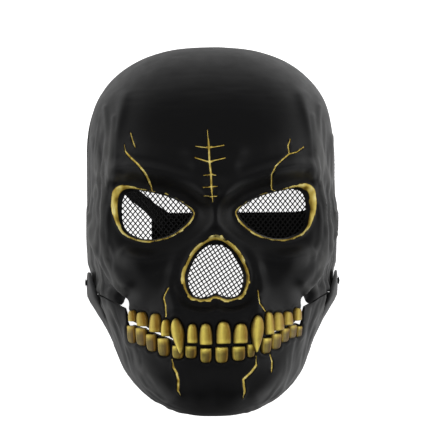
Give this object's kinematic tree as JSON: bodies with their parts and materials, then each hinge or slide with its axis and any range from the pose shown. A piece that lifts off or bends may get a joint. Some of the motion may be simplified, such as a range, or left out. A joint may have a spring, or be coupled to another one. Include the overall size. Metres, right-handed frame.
{
  "type": "skull mask",
  "caption": "Hollow moulded full-face skull mask with a hinged lower jaw, fangs, net-backed eye and nose openings and an elastic head band.",
  "frame": {"origin": "on the rest plane under the middle of the bounding box, with the mask lying face up on its flat back rim", "axes": "+X towards the right of the picture, +Y towards the crown, +Z out of the face"},
  "size_m": [0.194, 0.2793, 0.1216],
  "materials": {
    "shell_plastic": "satin black moulded plastic with gold painted edges, cracks and teeth",
    "net": "matt black net",
    "rivet": "satin black",
    "elastic": "matt black woven elastic"
  },
  "bodies": {
    "shell": {"upper_shell": "shell_plastic", "eye_net_left": "net", "eye_net_right": "net", "nose_net": "net", "jaw_rivet_left": "rivet", "jaw_rivet_right": "rivet", "strap_anchor_left": "shell_plastic", "strap_anchor_right": "shell_plastic", "head_strap": "elastic"},
    "jaw": {"jaw": "shell_plastic"}
  },
  "joints": [
    {"name": "jaw_hinge", "type": "hinge", "parent": "shell", "child": "jaw", "pos_m": [0, -0.0398, 0.022], "axis": [1, 0, 0], "range_deg": [0, 18]}
  ]
}
